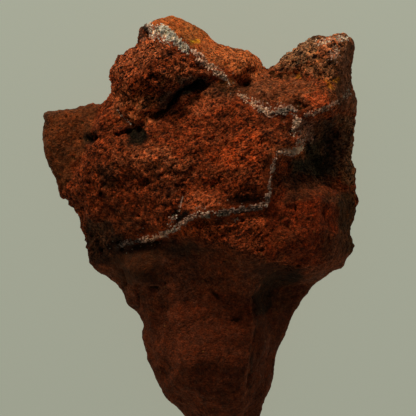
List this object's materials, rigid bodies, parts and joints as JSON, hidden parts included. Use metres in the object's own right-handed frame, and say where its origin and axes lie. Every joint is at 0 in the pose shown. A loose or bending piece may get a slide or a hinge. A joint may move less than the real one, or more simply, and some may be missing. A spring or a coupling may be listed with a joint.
{
  "type": "calcite with hematite on matrix",
  "caption": "Hand specimen of red earthy hematite rock, crossed by raised seams of pale calcite, lying on its flat broken back.",
  "frame": {"origin": "on the flat broken back that the specimen rests on, straight below the middle of the show face", "axes": "+Z out of the show face, away from the surface it rests on; +Y along the show face to the summit, away from the narrow tip; +X to the right of the show face"},
  "size_m": [0.0793, 0.1037, 0.0423],
  "materials": {
    "hematite": "dull, earthy, rubbly red-brown hematite with darker pits and small ochre spots",
    "calcite": "granular white to grey calcite, stained pink in places, with small glinting cleavage faces"
  },
  "bodies": {
    "root": {"hematite_matrix": "hematite", "calcite_seam_summit": "calcite", "calcite_seam_shoulder": "calcite", "calcite_seam_step": "calcite"}
  },
  "joints": []
}
